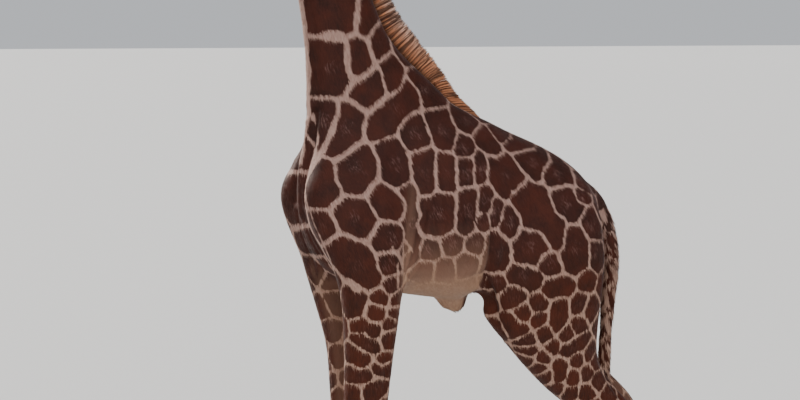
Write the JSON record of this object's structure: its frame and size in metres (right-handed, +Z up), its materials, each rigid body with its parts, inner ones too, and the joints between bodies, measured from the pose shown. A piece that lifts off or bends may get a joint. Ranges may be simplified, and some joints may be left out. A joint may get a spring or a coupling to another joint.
{
  "type": "reticulated giraffe, life-size still model",
  "caption": "Reticulated giraffe standing on all fours, neck raised, chestnut patches parted by a pale net, short standing mane and dark tail tuft.",
  "frame": {"origin": "centre of the bounding box at floor level", "axes": "+Z up; the animal faces -Y; its left side is towards +X"},
  "size_m": [0.7309, 3.1392, 4.9065],
  "materials": {
    "coat": "short flat fur, chestnut patches on a pale net",
    "mane": "stiff orange-brown hair, dark at its roots",
    "tuft": "long black-brown hair",
    "eye": "wet gloss, dark brown",
    "horn_skin": "furred stem with a bald dark knob",
    "hoof": "satin dark horn (keratin)"
  },
  "bodies": {
    "root": {"head": "coat", "neck": "coat", "trunk": "coat", "leg_front_left": "coat", "leg_front_right": "coat", "leg_hind_left": "coat", "leg_hind_right": "coat", "tail": "coat", "ear_left": "coat", "ear_right": "coat", "mane": "mane", "tail_tuft": "tuft", "eye_left": "eye", "eye_right": "eye", "ossicone_left": "horn_skin", "ossicone_right": "horn_skin", "hoof_front_left_inner": "hoof", "hoof_front_left_outer": "hoof", "hoof_front_right_inner": "hoof", "hoof_front_right_outer": "hoof", "hoof_hind_left_inner": "hoof", "hoof_hind_left_outer": "hoof", "hoof_hind_right_inner": "hoof", "hoof_hind_right_outer": "hoof"}
  },
  "joints": []
}
